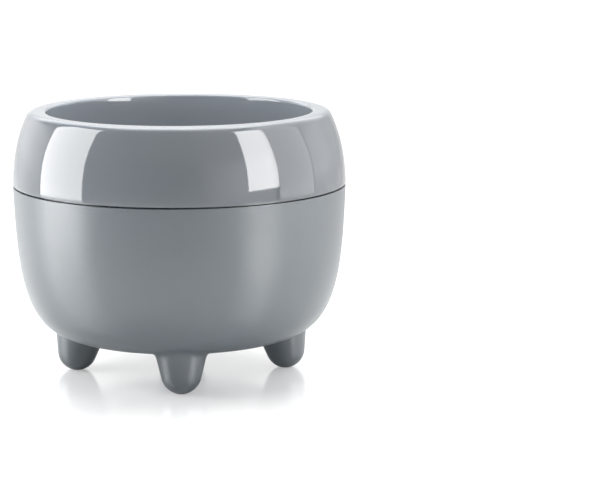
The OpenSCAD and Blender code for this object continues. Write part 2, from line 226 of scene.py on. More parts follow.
# %% Sizes of the feet
FOOT_CIRCLE_R = 63.4 * MM
FOOT_TIP_R = 11.9 * MM
FOOT_TAPER = math.radians(14.3)
FOOT_SPLAY = math.radians(10)
FOOT_FLAT = 0.3 * MM
FOOT_WALL = 2.6 * MM
FOOT_REACH = 60 * MM
OUT_STEPS, SIDE_STEPS, IN_STEPS = 48, 18, 24
TIP_STEPS, CONE_STEPS, FILLET_STEPS, PATCH_STEPS = 10, 5, 6, 10
TURN_STEPS, HALVINGS = 720, 40
PATCH_EASE = 1.3
print("each foot leans", round(math.degrees(FOOT_SPLAY)), "degrees outwards")

# %% The bowl's surface, and the edge of the patch around a foot


def height_at(depth):
    """The height of the bowl's surface above the floor, as a function of the radius."""
    points = inset(BELLY, np.linspace(0, 1, CURVE_POINTS), depth)
    radii = np.concatenate([[0], points[:, 0]])
    heights = np.concatenate([[points[0, 1]], points[:, 1]])
    return lambda radius: np.interp(radius, radii, heights)


def circle(radius, height, count, turn=0.0):
    angles = turn + np.arange(count) * 2 * math.pi / count
    return np.stack([radius * np.cos(angles), radius * np.sin(angles), np.full(count, height)], 1)


def patch_edge(inner_r, outer_r):
    """The edge of the patch of bowl around a foot: two arcs, and a straight side on either hand."""
    quarter = math.pi / 4
    outer = [(outer_r * math.cos(a), outer_r * math.sin(a))
             for a in np.linspace(-quarter, quarter, OUT_STEPS + 1)[:-1]]
    up = [(r * math.cos(quarter), r * math.sin(quarter))
          for r in np.linspace(outer_r, inner_r, SIDE_STEPS + 1)[:-1]]
    inner = [(inner_r * math.cos(a), inner_r * math.sin(a))
             for a in np.linspace(quarter, -quarter, IN_STEPS + 1)[:-1]]
    down = [(r * math.cos(quarter), -r * math.sin(quarter))
            for r in np.linspace(inner_r, outer_r, SIDE_STEPS + 1)[:-1]]
    return np.array(outer + up + inner + down)


# %% Rings of one foot


def foot_rings(depth, fillet, inner_r, outer_r):
    """Rings from a foot's tip to the patch of bowl around it, for a foot on the +X side."""
    surface = height_at(depth)
    radius = FOOT_TIP_R - (FOOT_WALL if depth else 0)
    centre = np.array([FOOT_CIRCLE_R, 0, FOOT_TIP_R - FOOT_FLAT])
    axis = np.array([-math.sin(FOOT_SPLAY), 0, math.cos(FOOT_SPLAY)])
    side = np.array([math.cos(FOOT_SPLAY), 0, math.sin(FOOT_SPLAY)])
    across = np.cross(axis, side)
    middle = centre + axis * (surface(FOOT_CIRCLE_R) - centre[2]) / axis[2]
    edge = patch_edge(inner_r, outer_r)

    def cone(turn):
        """Where the lines of the foot's cone start, and where they lead, for turns round its axis."""
        spoke = np.outer(np.cos(turn), side) + np.outer(np.sin(turn), across)
        start = centre + radius * (math.cos(FOOT_TAPER) * spoke - math.sin(FOOT_TAPER) * axis)
        return spoke, start, math.sin(FOOT_TAPER) * spoke + math.cos(FOOT_TAPER) * axis

    # where the cone meets the bowl, once round its axis, found by halving
    turns = np.linspace(-math.pi, math.pi, TURN_STEPS + 1)
    spoke, start, along = cone(turns)
    low, high = np.zeros(len(turns)), np.full(len(turns), FOOT_REACH)
    for _ in range(HALVINGS):
        mid = (low + high) / 2
        p = start + mid[:, None] * along
        above = p[:, 2] > surface(np.hypot(p[:, 0], p[:, 1]))
        high, low = np.where(above, mid, high), np.where(above, low, mid)
    meet = start + low[:, None] * along
    bearing = np.unwrap(np.arctan2(meet[:, 1] - middle[1], meet[:, 0] - middle[0]))

    # one point of every ring for each point of the patch's edge
    wanted = np.arctan2(edge[:, 1] - middle[1], edge[:, 0] - middle[0])
    turn = np.interp(wanted, bearing, turns)
    spoke, start, along = cone(turn)
    corner = start + np.interp(turn, turns, low)[:, None] * along
    spread_xy = corner[:, :2] + fillet * np.stack([np.cos(wanted), np.sin(wanted)], 1)
    spread = np.column_stack([spread_xy, surface(np.hypot(*spread_xy.T))])
    top = corner - fillet * along

    rings = []
    for a in np.linspace(math.pi / 2, FOOT_TAPER, TIP_STEPS + 1)[1:-1]:
        ring = centre + radius * (math.cos(a) * spoke - math.sin(a) * axis)
        ring[:, 2] = np.maximum(ring[:, 2], 0)
        rings.append(ring)
    for share in np.linspace(0, 1, CONE_STEPS + 1):
        rings.append(start + share * (top - start))
    for share in np.linspace(0, 1, FILLET_STEPS + 1)[1:]:
        rings.append((1 - share) ** 2 * top + 2 * (1 - share) * share * corner + share ** 2 * spread)
    for share in np.linspace(0, 1, PATCH_STEPS + 1)[1:]:
        xy = spread_xy + share ** PATCH_EASE * (edge - spread_xy)
        rings.append(np.column_stack([xy, surface(np.hypot(*xy.T))]))
    tip = centre - radius * axis
    return rings, (tip[0], tip[1], max(tip[2], 0))


# %% The four feet


def foot_patches(name, depth, fillet, inner_r, outer_r):
    """The four feet with the bowl around them, all from one foot."""
    rings, tip = foot_rings(depth, fillet, inner_r, outer_r)
    patch = from_rings(name, rings, tip=tip)
    patches = [patch]
    for quarter in range(1, 4):
        select_only(patch)
        bpy.ops.object.duplicate()
        copy = bpy.context.object
        copy.rotation_euler = (0, 0, quarter * math.pi / 2)
        patches.append(copy)
    return join(patches, name)


R_IN_OUTSIDE, R_OUT_OUTSIDE = 40 * MM, 86 * MM
R_IN_INSIDE, R_OUT_INSIDE = 42.4 * MM, 80 * MM
FOOT_FILLET, FOOT_FILLET_INSIDE = 3 * MM, 1.5 * MM
outside_feet = foot_patches("outside_feet", 0, FOOT_FILLET, R_IN_OUTSIDE, R_OUT_OUTSIDE)
inside_feet = foot_patches("inside_feet", WALL, FOOT_FILLET_INSIDE, R_IN_INSIDE, R_OUT_INSIDE)
print("faces around the feet:", len(outside_feet.data.polygons) + len(inside_feet.data.polygons))

# %% [markdown]
# The rest of the bowl is round, so it is a stack of rings that follow the outline: up the belly to the
# shoulder, over the thin lip that locates the inner pot, and down the inside to the reservoir's floor.
# In the middle the base steps up over a shallow recess, and a boss takes the drain plug. A spun outline
# would do as well, but its rings wouldn't share their points with the patches around the feet.

# %% Rounded outlines


def share_at(radius, depth):
    """How far along the belly curve a radius lies."""
    shares = np.linspace(0, 1, CURVE_POINTS)
    return np.interp(radius, inset(BELLY, shares, depth)[:, 0], shares)


def corner_round(before, corner, after, size, steps=4):
    """A rounded corner of an outline, as points of radius and height."""
    before, corner, after = (np.array(p, float) for p in (before, corner, after))
    a = corner + size * (before - corner) / np.linalg.norm(before - corner)
    b = corner + size * (after - corner) / np.linalg.norm(after - corner)
    return [tuple((1 - t) ** 2 * a + 2 * (1 - t) * t * corner + t * t * b)
            for t in np.linspace(0, 1, steps + 1)]


def rounded_outline(points, sizes, steps=4):
    """An open outline with every inner corner rounded by its own size."""
    out = [tuple(points[0])]
    for i in range(1, len(points) - 1):
        out += corner_round(points[i - 1], points[i], points[i + 1], sizes[i - 1], steps)
    return out + [tuple(points[-1])]


# %% Sides and lip of the outer pot
LIP_R = 97.1 * MM
LIP_IN = LIP_R - 2.2 * MM
LIP_TOP = 122 * MM
LIP_TAPER = 3 * MM
LIP_SHARE = 0.96
LIP_ROUNDS = [0.35 * MM, 0.3 * MM, 0.5 * MM, 0.5 * MM, 1 * MM]
BELLY_END = 0.998
SIDE_OUT_POINTS, SIDE_IN_POINTS, SMALL_ROUND_STEPS = 26, 20, 3
side_out = bezier(BELLY, np.linspace(share_at(R_OUT_OUTSIDE, 0), BELLY_END, SIDE_OUT_POINTS))
side_in = inset(BELLY, np.linspace(LIP_SHARE, share_at(R_OUT_INSIDE, WALL), SIDE_IN_POINTS), WALL)
lip = rounded_outline(
    [side_out[-1], (SEAM_R, SHOULDER_Z), (LIP_R, SHOULDER_Z), (LIP_R, LIP_TOP), (LIP_IN, LIP_TOP),
     (LIP_IN, side_in[0][1] + LIP_TAPER), side_in[0]],
    LIP_ROUNDS, SMALL_ROUND_STEPS)
outer_sides = from_rings("outer_sides", [circle(r, z, 4 * OUT_STEPS, -math.pi / 4)
                                         for r, z in list(side_out) + lip[1:-1] + list(side_in)])
print("the lip stands", round((LIP_TOP - SHOULDER_Z) / MM, 1), "mm above the shoulder")

# %% Middle of the base, and the whole outer pot
RECESS_R = 38 * MM
RECESS_H = 1.8 * MM
RECESS_TOP = BASE_H + RECESS_H
FLOOR_UP = FLOOR_H + RECESS_H
DRAIN_R = 6 * MM
BOSS_R = 9 * MM
BOSS_TOP = FLOOR_H + 3 * MM
MIDDLE_ROUNDS = [0.5 * MM, 0.5 * MM, 0.3 * MM, 0.3 * MM, 0.4 * MM, 0.5 * MM, 0.8 * MM, 0.8 * MM]
middle = rounded_outline(
    [(R_IN_OUTSIDE, BASE_H), (RECESS_R, BASE_H), (RECESS_R, RECESS_TOP), (DRAIN_R, RECESS_TOP),
     (DRAIN_R, BOSS_TOP), (BOSS_R, BOSS_TOP), (BOSS_R, FLOOR_UP), (RECESS_R + WALL, FLOOR_UP),
     (RECESS_R + WALL, FLOOR_H), (R_IN_INSIDE, FLOOR_H)],
    MIDDLE_ROUNDS, SMALL_ROUND_STEPS)
outer_middle = from_rings("outer_middle", [circle(r, z, 4 * IN_STEPS, -math.pi / 4) for r, z in middle])
outer_pot = join([outside_feet, inside_feet, outer_sides, outer_middle], "outer_pot_shell")
merge_and_smooth(outer_pot, COARSE_WELD)
print("outer pot:", len(outer_pot.data.polygons), "faces")

# %% [markdown]
# ## The inner pot
# The glossy pot is a cup whose rim turns over and comes down outside as the band. A solidify modifier
# over a plain surface would round both skins alike, but here the corners inside and outside differ. So
# the section is drawn as one closed line, once, and spun round the axis.

# %% Section of the inner pot
LINER_DRAFT = math.radians(1.5)
FLOOR_ROUND = 10 * MM
RIM_ROUND = 1.6 * MM
UNDER_RIM = 9 * MM
UNDER_ROUND = 3 * MM
UNDER_STEP = 0.5 * MM
BAND_OUT_POINTS, BAND_IN_POINTS = 25, 17
CUP_IN_POINTS, CUP_OUT_POINTS = 14, 12
SPIN_STEPS = 192


def inside_r(z):
    return MOUTH_R - (RIM_H - z) * math.tan(LINER_DRAFT)


def arc(centre, radius, start, end, steps):
    return [(centre[0] + radius * math.cos(a), centre[1] + radius * math.sin(a))
            for a in np.radians(np.linspace(start, end, steps + 1))]


cup_low = LINER_FLOOR + FLOOR_ROUND
cup_c = (inside_r(cup_low) - FLOOR_ROUND, cup_low)
band_out = [tuple(p) for p in bezier(BAND, np.linspace(0, 1, BAND_OUT_POINTS))]
band_in = [tuple(p) for p in inset(BAND, np.linspace(0, 1, BAND_IN_POINTS), WALL)]
shoulder_out = corner_round(SHOULDER, RIM_CORNER, (RIM_CORNER[0] - SHOULDER_ROUND, RIM_H),
                            SHOULDER_ROUND, 8)
under_z = RIM_H - WALL
under_corner = (RIM_CORNER[0] - WALL * math.tan(math.radians(45) - RIM_LEAN / 2), under_z)
shoulder_in = corner_round(band_in[-1], under_corner, (under_corner[0] - 1, under_z),
                           SHOULDER_ROUND / 2, 5)
floor_radii = (0, 10 * MM, 25 * MM, 45 * MM, 60 * MM)
floor_in = [(r, LINER_FLOOR) for r in floor_radii[::-1]]
floor_under = [(r, LINER_UNDER) for r in floor_radii]
wall_in = [(inside_r(z), z) for z in np.linspace(RIM_H - RIM_ROUND, cup_low, CUP_IN_POINTS)]
wall_out = [(inside_r(z) + WALL, z) for z in np.linspace(cup_low, RIM_H - UNDER_RIM, CUP_OUT_POINTS)]
section = (
    corner_round((SEAM_R, BAND_Z), (SEAM_R + BAND_PROUD, BAND_Z), band_out[0], BAND_EDGE, 4)[:-1]
    + band_out + shoulder_out[1:]
    + arc((inside_r(RIM_H) + RIM_ROUND, RIM_H - RIM_ROUND), RIM_ROUND, 90, 180, 6)
    + wall_in[1:]
    + arc(cup_c, FLOOR_ROUND, -1.5, -90, 10)[1:]
    + floor_in + floor_under
    + arc(cup_c, FLOOR_ROUND + WALL, -90, -1.5, 10)
    + wall_out[1:]
    + corner_round(wall_out[-1], (inside_r(RIM_H) + WALL + UNDER_STEP, under_z),
                   (under_corner[0], under_z), UNDER_ROUND, 4)
    + shoulder_in[::-1] + band_in[::-1][1:]
    + [(SEAM_R + BAND_PROUD - WALL, BAND_Z)])
print("points in the section:", len(section))

# %% Shell of the inner pot


def spun(name, section, steps):
    """Spins a closed section, points of radius and height, once round the axis."""
    edges = [(i, (i + 1) % len(section)) for i in range(len(section))]
    obj = from_mesh_data(name, [(r, 0, z) for r, z in section], edges, [])
    select_only(obj)
    bpy.ops.object.mode_set(mode="EDIT")
    bpy.ops.mesh.select_all(action="SELECT")
    bpy.ops.mesh.spin(steps=steps, angle=2 * math.pi, center=(0, 0, 0), axis=(0, 0, 1))
    bpy.ops.object.mode_set(mode="OBJECT")
    return merge_and_smooth(obj)


cup = spun("inner_pot_shell", section, SPIN_STEPS)
print("cup and band:", len(cup.data.polygons), "faces")

# %% [markdown]
# The floor of the cup has three kinds of opening: the filling shaft runs through it, each wick hangs
# through a pair of slots, and a ring of short slots lets surplus water drain. All of them are cut with
# one boolean, from plain extruded outlines, which is quicker and safer than twenty cuts in a row.

# %% Outlines of the openings
GAUGE_Y = -54 * MM
SHAFT_R = 13 * MM
WICK_R = 37 * MM
WICK_W = 15 * MM
WICK_T = 1.6 * MM
WICK_PITCH = 14 * MM
WICK_PLAY = 0.7 * MM
DRAIN_RING_R = 60 * MM
DRAIN_SLOT_W = 2.4 * MM
DRAIN_SLOT_L = 9 * MM
CUT_MARGIN = 1 * MM
BOW_POINTS = 33
SLOT_TURNS = (0, 30, 60, 90, 120, 150, 179, 181, 210, 240, 270, 300, 330, 359)


def extruded(name, outline, move):
    """A closed solid: one face through the points of an outline, extruded along a vector."""
    obj = from_mesh_data(name, [tuple(p) for p in outline], [], [tuple(range(len(outline)))])
    select_only(obj)
    bpy.ops.object.mode_set(mode="EDIT")
    bpy.ops.mesh.select_all(action="SELECT")
    bpy.ops.mesh.extrude_region_move(TRANSFORM_OT_translate={"value": tuple(move)})
    bpy.ops.mesh.select_all(action="SELECT")
    bpy.ops.mesh.normals_make_consistent(inside=False)
    bpy.ops.object.mode_set(mode="OBJECT")
    return obj


def turned(points, angle, z):
    """Plan points turned round the axis and set at a height."""
    c, s = math.cos(angle), math.sin(angle)
    return [(x * c - y * s, x * s + y * c, z) for x, y in points]


def bar_plan(near, far, half):
    """A bar in plan, along the X axis."""
    return [(near, -half), (far, -half), (far, half), (near, half)]


def slot_plan():
    """A drain slot in plan, with round ends, across the X axis."""
    round_r = DRAIN_SLOT_W / 2
    straight = (DRAIN_SLOT_L - DRAIN_SLOT_W) / 2
    return [(DRAIN_RING_R + round_r * math.cos(a),
             straight * (1 if a < math.pi else -1) + round_r * math.sin(a))
            for a in np.radians(SLOT_TURNS)]


def shaft_plan(margin, reach):
    """The shaft in plan: round towards the middle, and straight out to a radius."""
    half = SHAFT_R + margin
    end = -math.sqrt(reach ** 2 - half ** 2)
    bow = [(half * math.cos(a), GAUGE_Y + half * math.sin(a))
           for a in np.radians(np.linspace(0, 180, BOW_POINTS))]
    return [(half, end)] + bow + [(-half, end)]


# %% Cut the openings
DRAIN_PLACES = 12
SHAFT_PLACE = 9
cut_z = LINER_UNDER - CUT_MARGIN
through = (0, 0, WALL + 2 * CUT_MARGIN)
shaft_end = inside_r(LINER_FLOOR) - FLOOR_ROUND / 3
cutters = [extruded("shaft_cut", turned(shaft_plan(0, shaft_end), 0, cut_z), (0, 0, cup_low - cut_z))]
slot_x, slot_y = WICK_T / 2 + WICK_PLAY, WICK_W / 2 + WICK_PLAY
for corner in range(4):
    for side in (-1, 1):
        mid = WICK_R + side * WICK_PITCH / 2
        plan = turned(bar_plan(mid - slot_x, mid + slot_x, slot_y), math.radians(45 + 90 * corner), cut_z)
        cutters.append(extruded("wick_cut", plan, through))
for place in range(DRAIN_PLACES):
    if place != SHAFT_PLACE:
        plan = turned(slot_plan(), math.radians(360 / DRAIN_PLACES * place), cut_z)
        cutters.append(extruded("drain_cut", plan, through))
cutter = join(cutters, "floor_openings")
select_only(cup)
cut = cup.modifiers.new("openings", "BOOLEAN")
cut.operation = "DIFFERENCE"
cut.solver = "EXACT"
cut.object = cutter
bpy.ops.object.modifier_apply(modifier=cut.name)
bpy.data.objects.remove(cutter)
print("openings cut:", len(cutters))

# %% [markdown]
# The shaft's wall is a U that grows out of the cup's front wall, with a soft top edge for the gauge's
# plate to sit on. Its rings widen with the cup, so they follow the draft and the round of the floor.

# %% Shaft wall
SHAFT_WALL = 2 * MM
SHAFT_TOP = 128 * MM
SHAFT_EDGE = 0.6 * MM
SHAFT_EDGE_TURNS = (0, 30, 60, 88)
LEVEL_STEP = 2 * MM
HIGH_LEVELS = [80 * MM, 104 * MM]
SUNK = WALL / 2


def cup_reach(z):
    """The radius of the middle of the cup's wall at a height."""
    if z >= cup_low:
        return inside_r(z) + WALL / 2
    rise = (FLOOR_ROUND + WALL / 2) ** 2 - (cup_low - z) ** 2
    return inside_r(cup_low) - FLOOR_ROUND + math.sqrt(max(rise, 0))


def shaft_ring(z, margin):
    outside = shaft_plan(SHAFT_WALL - margin, cup_reach(z))
    inside = shaft_plan(margin, cup_reach(z))
    return [(x, y, z) for x, y in outside + inside[::-1]]


levels = [LINER_UNDER + SUNK + i * LEVEL_STEP for i in range(6)] + HIGH_LEVELS
rings = [shaft_ring(z, 0) for z in levels]
rings += [shaft_ring(SHAFT_TOP - SHAFT_EDGE * (1 - math.sin(a)), SHAFT_EDGE * (1 - math.cos(a)))
          for a in np.radians(SHAFT_EDGE_TURNS)]
shaft = from_rings("shaft_wall", rings, ends=True)
print("the shaft's top is", round((RIM_H - SHAFT_TOP) / MM), "mm below the rim")

# %% [markdown]
# Under the rim twelve thin gussets tie the band to the cup, and eight ribs with a ring stiffen the
# floor. On the real pot they keep a thin wall stiff. They are plain flat bars, so each is an outline
# that is extruded, and it is sunk a little into the wall that it grows from, as one moulding is.

# %% Gussets and floor ribs
RIB_T = 1.6 * MM
RIB_H = 3 * MM
HUB_R = 16 * MM
HUB_STEPS = 64
GUSSETS = 12
RIBS = 8
GUSSET_PLAY = 0.2 * MM
GUSSET_CORNER = RIM_CORNER[0] - 2 * MM
gusset_z = LIP_TOP + GUSSET_PLAY
mid_band = [tuple(p) for p in inset(BAND, np.linspace(0, 1, BAND_IN_POINTS), WALL / 2) if p[1] > gusset_z]
gusset = ([(inside_r(LIP_TOP) + SUNK, gusset_z), (mid_band[0][0], gusset_z)]
          + mid_band + [(GUSSET_CORNER, RIM_H - SUNK), (inside_r(RIM_H) + SUNK, RIM_H - SUNK)])
stiffeners = []
for place in range(GUSSETS):
    angle = 2 * math.pi / GUSSETS * (place + 0.5)
    side = (-math.sin(angle) * RIB_T, math.cos(angle) * RIB_T, 0)
    outline = [(r * math.cos(angle) - side[0] / 2, r * math.sin(angle) - side[1] / 2, z) for r, z in gusset]
    stiffeners.append(extruded("gusset", outline, side))
rib_end = inside_r(LINER_FLOOR) - FLOOR_ROUND / 2
for place in range(RIBS):
    plan = turned(bar_plan(HUB_R, rib_end, RIB_T / 2), 2 * math.pi / RIBS * (place + 0.5),
                  LINER_UNDER - RIB_H)
    stiffeners.append(extruded("rib", plan, (0, 0, RIB_H + SUNK)))
hub = from_rings("hub", [circle(HUB_R + RIB_T / 2 * dr, LINER_UNDER + dz, HUB_STEPS)
                         for dr, dz in ((-1, -RIB_H), (1, -RIB_H), (1, SUNK), (-1, SUNK))],
                 closed_rows=True)
inner_pot = join([cup, shaft, hub] + stiffeners, "inner_pot_shell")
merge_and_smooth(inner_pot, FINE_WELD)
print("inner pot:", len(inner_pot.data.polygons), "faces")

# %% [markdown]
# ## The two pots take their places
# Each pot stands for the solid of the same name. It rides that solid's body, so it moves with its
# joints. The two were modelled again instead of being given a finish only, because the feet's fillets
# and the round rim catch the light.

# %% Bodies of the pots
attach(outer_pot, "outer_pot")
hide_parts("outer_pot")
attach(inner_pot, "inner_pot")
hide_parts("inner_pot")
print("pots placed:", outer_pot.name, "and", inner_pot.name)

# %% [markdown]
# ## Wicks
# A wick is a strip of thick fleece. It lies across the floor of the planting space between two slots and
# hangs through them into the water. A cloth simulation would drape it too, but a strip this short hardly
# drapes. So it is swept along its own soft line, with rounded edges, and its tails sway a little, each
# one differently.

# %% The line of a wick
WICK_BEND = 2.4 * MM
WICK_LIFT = 0.3 * MM
WICK_END = 1.1 * MM
WICK_CROWN = 0.5 * MM
WICK_EDGE = 0.75 * MM
SWAY_TURN = 3.0
TAIL_POINTS, BEND_POINTS, CROWN_POINTS = 22, 8, 9


def wick_line(sway):
    """The line of a strip, as points of distance from its middle and height."""
    top = LINER_FLOOR + WICK_LIFT + WICK_T / 2
    low = FLOOR_UP + WICK_END
    half = WICK_PITCH / 2
    flat = half - WICK_BEND

    def tail(side, amount):
        """One hanging end, from the bottom up: straight in its slot, and swaying below the pot."""
        points = []
        for z in np.linspace(low, top - WICK_BEND, TAIL_POINTS):
            swing = math.sin((LINER_UNDER - z) / (LINER_UNDER - low) * SWAY_TURN) if z < LINER_UNDER else 0
            points.append((side * half + amount * MM * swing, z))
        return points

    bend = [(-half + WICK_BEND - WICK_BEND * math.cos(a), top - WICK_BEND + WICK_BEND * math.sin(a))
            for a in np.radians(np.linspace(0, 90, BEND_POINTS))][1:]
    over = [(s, top + WICK_CROWN * math.cos(s / flat * math.pi / 2))
            for s in np.linspace(-flat, flat, CROWN_POINTS)]
    bend_back = [(-s, z) for s, z in bend[::-1]]
    return np.array(tail(-1, sway[0]) + bend + over[1:-1] + bend_back + tail(1, sway[1])[::-1])


length = float(np.linalg.norm(np.diff(wick_line((1, 1)), axis=0), axis=1).sum())
print("a wick is", round(length / MM, 1), "mm long when flat")

# %% Wick strips
RIPPLE = 0.12 * MM
RIPPLE_RATE = 900
SHARP_WICK = 50


def wick_strip(name, angle, sway):
    """A strip swept along its line, with a slight ripple along its length."""
    line = wick_line(sway)
    along = np.gradient(line, axis=0)
    along /= np.linalg.norm(along, axis=1)[:, None]
    out = np.stack([-along[:, 1], along[:, 0]], 1)
    w, t = WICK_W / 2, WICK_T / 2
    across = rounded_outline([(0, t), (w, t), (w, -t), (-w, -t), (-w, t), (0, t)], [WICK_EDGE] * 4, 4)[:-1]
    rings = []
    for (s, z), (out_s, out_z) in zip(line, out):
        ripple = RIPPLE * math.sin(z * RIPPLE_RATE + angle)
        ring = []
        for y, thick in across:
            x = WICK_R + s + out_s * (thick + ripple)
            ring += turned([(x, y + ripple)], angle, z + out_z * (thick + ripple))
        rings.append(ring)
    return merge_and_smooth(from_rings(name, rings, ends=True), FINE_WELD, SHARP_WICK)


WICKS = [("wick_back_right", 45, (0.9, -1.2)), ("wick_back_left", 135, (-1.1, 0.8)),
         ("wick_front_left", 225, (1.3, 1.0)), ("wick_front_right", 315, (-0.8, -1.3))]
wicks = []
for node_name, degrees, sway in WICKS:
    strip = wick_strip(node_name + "_strip", math.radians(degrees), sway)
    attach(strip, "inner_pot")
    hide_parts(node_name)
    wicks.append(strip)
print("wick strips:", len(wicks))

# %% [markdown]
# ## Finishes
# A moulded plastic is never one flat colour under a perfect gloss. Its shade drifts a little, the mould
# leaves a fine grain, and large faces are slightly wavy. Painted textures could show that, but noise in
# object coordinates needs no unwrapping and stays with the piece when it moves. One helper makes all
# the plastics, and only the numbers differ.

# %% Finish helpers
DRIFT_SCALE = 9.0
WAVE_SCALE = 14.0
ROUGH_DRIFT = 0.12


def new_material(name):
    material = bpy.data.materials.new(name)
    material.use_nodes = True
    nodes = material.node_tree.nodes
    return material, nodes, material.node_tree.links, nodes["Principled BSDF"]


def noise(nodes, links, coords, scale, detail):
    node = nodes.new("ShaderNodeTexNoise")
    node.inputs["Scale"].default_value = scale
    node.inputs["Detail"].default_value = detail
    links.new(coords.outputs["Object"], node.inputs["Vector"])
    return node


def remap(nodes, links, source, low, high):
    node = nodes.new("ShaderNodeMapRange")
    node.inputs["To Min"].default_value = low
    node.inputs["To Max"].default_value = high
    links.new(source, node.inputs["Value"])
    return node.outputs["Result"]


def moulded(name, colour, rough, grain_scale, grain_depth, spread=0.03, wave_depth=0.0, sheen=0.5):
    """A moulded plastic: a little colour drift, a grain, and slow waviness from the mould."""
    material, nodes, links, shader = new_material(name)
    coords = nodes.new("ShaderNodeTexCoord")
    drift = noise(nodes, links, coords, DRIFT_SCALE, 2.0)
    shade = nodes.new("ShaderNodeMix")
    shade.data_type = "RGBA"
    shade.inputs["A"].default_value = (*[c * (1 - spread) for c in colour], 1)
    shade.inputs["B"].default_value = (*[c * (1 + spread) for c in colour], 1)
    links.new(drift.outputs["Fac"], shade.inputs["Factor"])
    links.new(shade.outputs["Result"], shader.inputs["Base Color"])
    grain = noise(nodes, links, coords, grain_scale, 4.0)
    links.new(remap(nodes, links, grain.outputs["Fac"], rough * (1 - ROUGH_DRIFT), rough * (1 + ROUGH_DRIFT)),
              shader.inputs["Roughness"])
    bump = nodes.new("ShaderNodeBump")
    bump.inputs["Distance"].default_value = grain_depth
    bump.inputs["Strength"].default_value = 1.0
    links.new(grain.outputs["Fac"], bump.inputs["Height"])
    if wave_depth:
        wave = noise(nodes, links, coords, WAVE_SCALE, 1.0)
        slow = nodes.new("ShaderNodeBump")
        slow.inputs["Distance"].default_value = wave_depth
        links.new(wave.outputs["Fac"], slow.inputs["Height"])
        links.new(slow.outputs["Normal"], bump.inputs["Normal"])
    links.new(bump.outputs["Normal"], shader.inputs["Normal"])
    shader.inputs["IOR"].default_value = 1.5
    shader.inputs["Specular IOR Level"].default_value = sheen
    return material


def dress(obj, material):
    obj.data.materials.clear()
    obj.data.materials.append(material)


# %% [markdown]
# Both pots are moulded from one cool grey plastic. The inner pot leaves a polished mould, so it is
# glossy with the faintest waviness. The outer pot leaves a blasted mould, so it is matt with a fine even
# grain. A coat layer over a matt base would also give gloss, but polished plastic has no lacquer on it.
# The grain and the waves are no deeper than a few hundredths of a millimetre.

# %% The greys
GLOSS_GREY = (0.186, 0.204, 0.224)
MATT_GREY = (0.122, 0.143, 0.161)
gloss_grey = moulded("gloss_grey_plastic", GLOSS_GREY, 0.045, 900.0, 0.002 * MM,
                     spread=0.02, wave_depth=0.01 * MM)
matte_grey = moulded("matte_grey_plastic", MATT_GREY, 0.30, 2600.0, 0.02 * MM,
                     spread=0.025, sheen=0.95)
dress(outer_pot, matte_grey)
dress(inner_pot, gloss_grey)
print("greys:", gloss_grey.name, "and", matte_grey.name)

# %% [markdown]
# The small parts keep the shape of their solids and only get a finish. The gauge and its lid are dark
# plastic, the float is white foam, the rod is white, and its tip is red, so that it shows through the
# clear window. The plug is black rubber, and the wicks are off-white fleece with a deep nap.

# %% Finishes of the small parts
dark_plastic = moulded("dark_plastic", (0.035, 0.037, 0.04), 0.38, 1800.0, 0.03 * MM)
foam_white = moulded("white_foam", (0.78, 0.78, 0.75), 0.75, 900.0, 0.2 * MM)
rod_white = moulded("white_rod_plastic", (0.75, 0.75, 0.72), 0.35, 1500.0, 0.01 * MM)
marker_red = moulded("red_marker_plastic", (0.55, 0.02, 0.015), 0.25, 1500.0, 0.01 * MM)
rubber_black = moulded("black_rubber", (0.02, 0.02, 0.021), 0.7, 1400.0, 0.06 * MM)
fleece = moulded("fleece", (0.72, 0.72, 0.68), 0.95, 700.0, 0.6 * MM, spread=0.08)
clear, _, _, clear_shader = new_material("clear_window_plastic")
clear_shader.inputs["Base Color"].default_value = (0.95, 0.97, 0.98, 1)
clear_shader.inputs["Transmission Weight"].default_value = 1.0
clear_shader.inputs["Roughness"].default_value = 0.04
clear_shader.inputs["IOR"].default_value = 1.49
FINISHES = {"gauge_guide": dark_plastic, "filler_lid": dark_plastic, "gauge_float": foam_white,
            "gauge_rod": rod_white, "gauge_marker": marker_red, "gauge_window": clear,
            "drain_plug": rubber_black}
for node_name, finish in FINISHES.items():
    dress(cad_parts[node_name], finish)
for strip in wicks:
    dress(strip, fleece)
print("small parts with a finish:", len(FINISHES) + len(wicks))

# %% [markdown]
# ## Floor
# The planter stands on a polished white table, which shows a soft shadow and a faint mirror image of the
# feet. Under soft light alone the table would come out pale grey. More light would wash out the pots, so
# the table glows a little instead, and only in what the camera sees.

# %% Floor
TABLE_WHITE = (0.9, 0.9, 0.9, 1)
TABLE_GLOW = 0.33
clear_selection()
bpy.ops.mesh.primitive_plane_add(size=12, location=(0, 0, 0))
floor = bpy.context.object
floor.name = "floor"
floor_mat, nodes, links, shader = new_material("white_table")
shader.inputs["Base Color"].default_value = TABLE_WHITE
shader.inputs["Roughness"].default_value = 0.12
shader.inputs["IOR"].default_value = 1.65
path = nodes.new("ShaderNodeLightPath")
glow = nodes.new("ShaderNodeMath")
glow.operation = "MULTIPLY"
glow.inputs[1].default_value = TABLE_GLOW
links.new(path.outputs["Is Camera Ray"], glow.inputs[0])
shader.inputs["Emission Color"].default_value = (1, 1, 1, 1)
links.new(glow.outputs[0], shader.inputs["Emission Strength"])
dress(floor, floor_mat)
print("the table is", round(floor.dimensions.x), "m wide")

# %% [markdown]
# ## The room
# A gloss shows the room around it, so the room matters more here than the lamps do. A studio has white
# walls and black flags for that. They could be modelled as planes, but a ring of brightness against the
# bearing does the same: dark in front, for the calm middle of the band, and bright at the sides and
# behind. There is one ring for the walls and one for what is above them, and they blend between 14 and
# 24 degrees of height. Behind the broad lamps at both sides the ring is black, because the two would add
# up. The camera itself sees plain white behind the planter.

